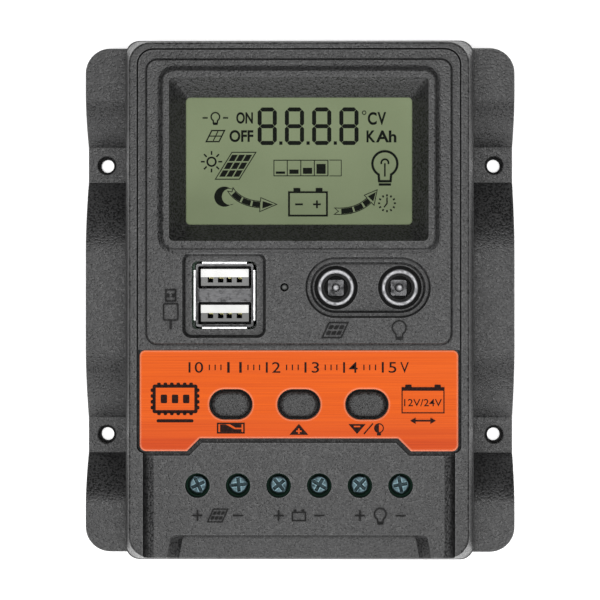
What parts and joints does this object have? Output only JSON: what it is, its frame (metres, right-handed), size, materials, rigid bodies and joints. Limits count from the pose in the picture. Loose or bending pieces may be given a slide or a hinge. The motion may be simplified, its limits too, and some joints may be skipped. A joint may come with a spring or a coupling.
{
  "type": "solar charge controller",
  "caption": "Wall-mounted box with wavy side ears, sunk display, charging sockets, barrel jacks, oval keys on an orange plate and a deck of recessed terminal screws.",
  "frame": {"origin": "centre of the back face, on the plane that the ears' feet stand on", "axes": "+Z out of the face, +Y towards the display end, +X to the right seen from the front"},
  "size_m": [0.1036, 0.124, 0.036],
  "materials": {
    "shell_plastic": "fine spark-eroded texture",
    "key_plastic": "fine texture",
    "orange_plate": "brushed, tinted orange",
    "label_film": "satin film",
    "zinc_steel": "zinc plated",
    "cage_steel": "zinc plated",
    "terminal_plastic": "moulded",
    "contact_brass": "stamped",
    "tinned_copper": "tinned",
    "board_green": "solder mask",
    "display_glass": "flat glass",
    "guide_acrylic": "clear moulded",
    "socket_steel": "nickel plated",
    "white_plastic": "moulded",
    "black_plastic": "moulded",
    "nickel": "bright plated",
    "lens_epoxy": "clear tinted",
    "bare_aluminium": "extruded",
    "pad_silicone": "smooth",
    "can_sleeve": "shrink sleeve",
    "ferrite": "wound",
    "fuse_glass": "clear"
  },
  "bodies": {
    "housing": {"rear_shell": "shell_plastic", "front_shell": "shell_plastic", "face_panel": "shell_plastic", "label_plate": "orange_plate", "rear_label": "label_film", "case_screws": "zinc_steel", "switch_bodies": "black_plastic", "switch_lids": "nickel", "switch_domes": "nickel", "switch_legs": "tinned_copper", "terminal_housing": "terminal_plastic", "contact_bars": "contact_brass", "main_board": "board_green", "display_board": "board_green", "main_board_screws": "zinc_steel", "display_board_screws": "zinc_steel", "lcd_cell": "display_glass", "lcd_light_guide": "guide_acrylic", "lcd_pins": "tinned_copper", "socket_shell": "socket_steel", "socket_insulator": "white_plastic", "socket_contacts": "contact_brass", "panel_jack_body": "black_plastic", "load_jack_body": "black_plastic", "panel_jack_ring": "nickel", "load_jack_ring": "nickel", "panel_jack_pin": "nickel", "load_jack_pin": "nickel", "status_led": "lens_epoxy", "heat_sink": "bare_aluminium", "mosfets": "black_plastic", "mosfet_bolts": "zinc_steel", "insulating_pads": "pad_silicone", "electrolytic_capacitors": "can_sleeve", "power_coil": "ferrite", "cartridge_fuse": "fuse_glass", "fuse_clips": "tinned_copper", "shunt_link": "tinned_copper", "header_socket": "black_plastic", "header_strip": "black_plastic", "header_pins": "contact_brass", "controller_chip": "black_plastic"},
    "mode_key": {"mode_button": "key_plastic", "mode_switch_plunger": "black_plastic"},
    "up_key": {"up_button": "key_plastic", "up_switch_plunger": "black_plastic"},
    "down_key": {"down_button": "key_plastic", "down_switch_plunger": "black_plastic"},
    "screw_panel_pos": {"terminal_screw_panel_pos": "zinc_steel"},
    "cage_panel_pos": {"clamp_cage_panel_pos": "cage_steel"},
    "screw_panel_neg": {"terminal_screw_panel_neg": "zinc_steel"},
    "cage_panel_neg": {"clamp_cage_panel_neg": "cage_steel"},
    "screw_battery_pos": {"terminal_screw_battery_pos": "zinc_steel"},
    "cage_battery_pos": {"clamp_cage_battery_pos": "cage_steel"},
    "screw_battery_neg": {"terminal_screw_battery_neg": "zinc_steel"},
    "cage_battery_neg": {"clamp_cage_battery_neg": "cage_steel"},
    "screw_load_pos": {"terminal_screw_load_pos": "zinc_steel"},
    "cage_load_pos": {"clamp_cage_load_pos": "cage_steel"},
    "screw_load_neg": {"terminal_screw_load_neg": "zinc_steel"},
    "cage_load_neg": {"clamp_cage_load_neg": "cage_steel"}
  },
  "joints": [
    {"name": "mode_press", "type": "slide", "parent": "housing", "child": "mode_key", "axis": [0, 0, -1], "range_m": [0, 0.00045], "stiffness_N_per_m": 1500, "springref_m": -0.0002},
    {"name": "up_press", "type": "slide", "parent": "housing", "child": "up_key", "axis": [0, 0, -1], "range_m": [0, 0.00045], "stiffness_N_per_m": 1500, "springref_m": -0.0002},
    {"name": "down_press", "type": "slide", "parent": "housing", "child": "down_key", "axis": [0, 0, -1], "range_m": [0, 0.00045], "stiffness_N_per_m": 1500, "springref_m": -0.0002},
    {"name": "turn_panel_pos", "type": "hinge", "parent": "housing", "child": "screw_panel_pos", "pos_m": [-0.02375, -0.0434, 0.026], "axis": [0, 0, -1], "range_deg": [0, 2700]},
    {"name": "lift_panel_pos", "type": "slide", "parent": "housing", "child": "cage_panel_pos", "axis": [0, 0, 1], "range_m": [0, 0.0045]},
    {"name": "turn_panel_neg", "type": "hinge", "parent": "housing", "child": "screw_panel_neg", "pos_m": [-0.01425, -0.0434, 0.026], "axis": [0, 0, -1], "range_deg": [0, 2700]},
    {"name": "lift_panel_neg", "type": "slide", "parent": "housing", "child": "cage_panel_neg", "axis": [0, 0, 1], "range_m": [0, 0.0045]},
    {"name": "turn_battery_pos", "type": "hinge", "parent": "housing", "child": "screw_battery_pos", "pos_m": [-0.00475, -0.0434, 0.026], "axis": [0, 0, -1], "range_deg": [0, 2700]},
    {"name": "lift_battery_pos", "type": "slide", "parent": "housing", "child": "cage_battery_pos", "axis": [0, 0, 1], "range_m": [0, 0.0045]},
    {"name": "turn_battery_neg", "type": "hinge", "parent": "housing", "child": "screw_battery_neg", "pos_m": [0.00475, -0.0434, 0.026], "axis": [0, 0, -1], "range_deg": [0, 2700]},
    {"name": "lift_battery_neg", "type": "slide", "parent": "housing", "child": "cage_battery_neg", "axis": [0, 0, 1], "range_m": [0, 0.0045]},
    {"name": "turn_load_pos", "type": "hinge", "parent": "housing", "child": "screw_load_pos", "pos_m": [0.01425, -0.0434, 0.026], "axis": [0, 0, -1], "range_deg": [0, 2700]},
    {"name": "lift_load_pos", "type": "slide", "parent": "housing", "child": "cage_load_pos", "axis": [0, 0, 1], "range_m": [0, 0.0045]},
    {"name": "turn_load_neg", "type": "hinge", "parent": "housing", "child": "screw_load_neg", "pos_m": [0.02375, -0.0434, 0.026], "axis": [0, 0, -1], "range_deg": [0, 2700]},
    {"name": "lift_load_neg", "type": "slide", "parent": "housing", "child": "cage_load_neg", "axis": [0, 0, 1], "range_m": [0, 0.0045]}
  ],
  "couplings": [
    {"joint": "turn_panel_pos", "follows": "lift_panel_pos", "rad_per_m": 10472},
    {"joint": "turn_panel_neg", "follows": "lift_panel_neg", "rad_per_m": 10472},
    {"joint": "turn_battery_pos", "follows": "lift_battery_pos", "rad_per_m": 10472},
    {"joint": "turn_battery_neg", "follows": "lift_battery_neg", "rad_per_m": 10472},
    {"joint": "turn_load_pos", "follows": "lift_load_pos", "rad_per_m": 10472},
    {"joint": "turn_load_neg", "follows": "lift_load_neg", "rad_per_m": 10472}
  ]
}
